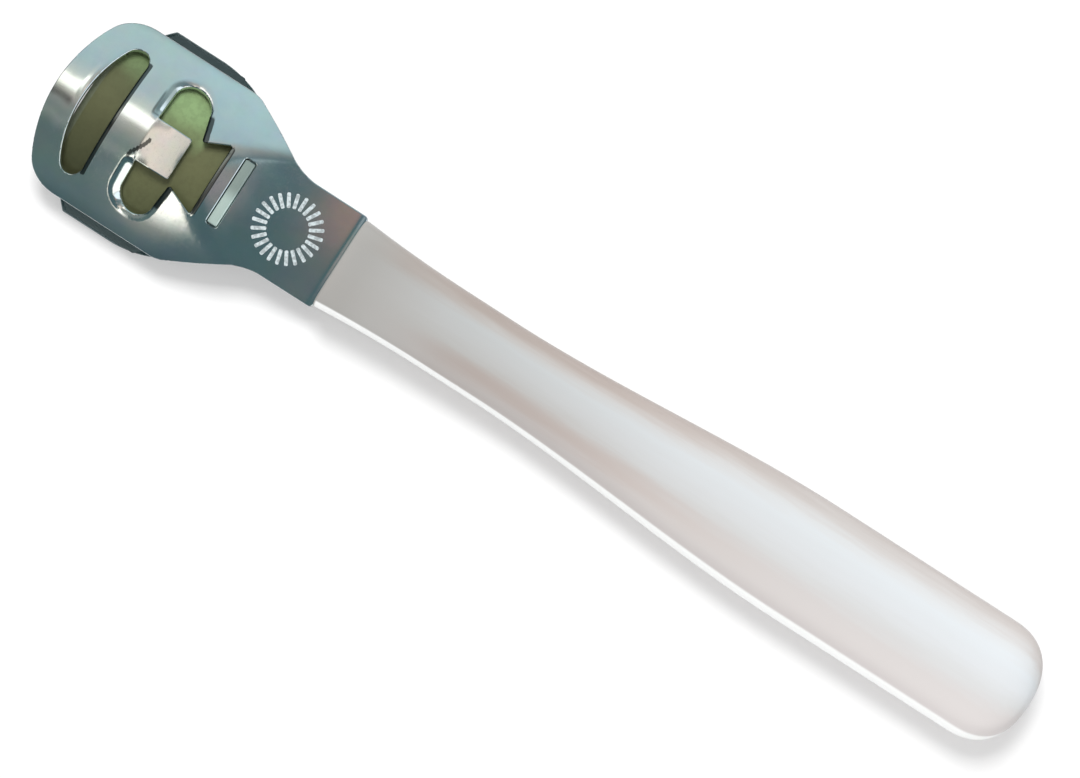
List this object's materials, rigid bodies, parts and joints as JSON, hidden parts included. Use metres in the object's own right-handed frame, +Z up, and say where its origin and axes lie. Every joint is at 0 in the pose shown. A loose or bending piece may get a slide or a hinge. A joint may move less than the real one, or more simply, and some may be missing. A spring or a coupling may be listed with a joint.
{
  "type": "corn cutter",
  "caption": "Hand tool with a curved steel head that holds a thin bent blade behind a mouth slot, on a slim moulded handle with a round end.",
  "frame": {"origin": "on the table, under the middle of the tool's length and width", "axes": "+X along the tool towards the handle's end, +Z up out of the head's curved face, +Y across"},
  "size_m": [0.158, 0.0296, 0.0096],
  "materials": {
    "head_steel": "polished stainless steel",
    "blade_steel": "thin strip steel with a yellow-green tint",
    "base_steel": "plain stainless steel",
    "handle_plastic": "pearl-white satin gloss"
  },
  "bodies": {
    "holder": {"head_plate": "head_steel", "base_plate": "base_steel", "handle": "handle_plastic"},
    "blade": {"blade": "blade_steel"}
  },
  "joints": [
    {"name": "blade_slide_out", "type": "hinge", "parent": "holder", "child": "blade", "pos_m": [-0.06405, 0, -0.01518], "axis": [1, 0, 0], "range_deg": [-30, 30]}
  ]
}
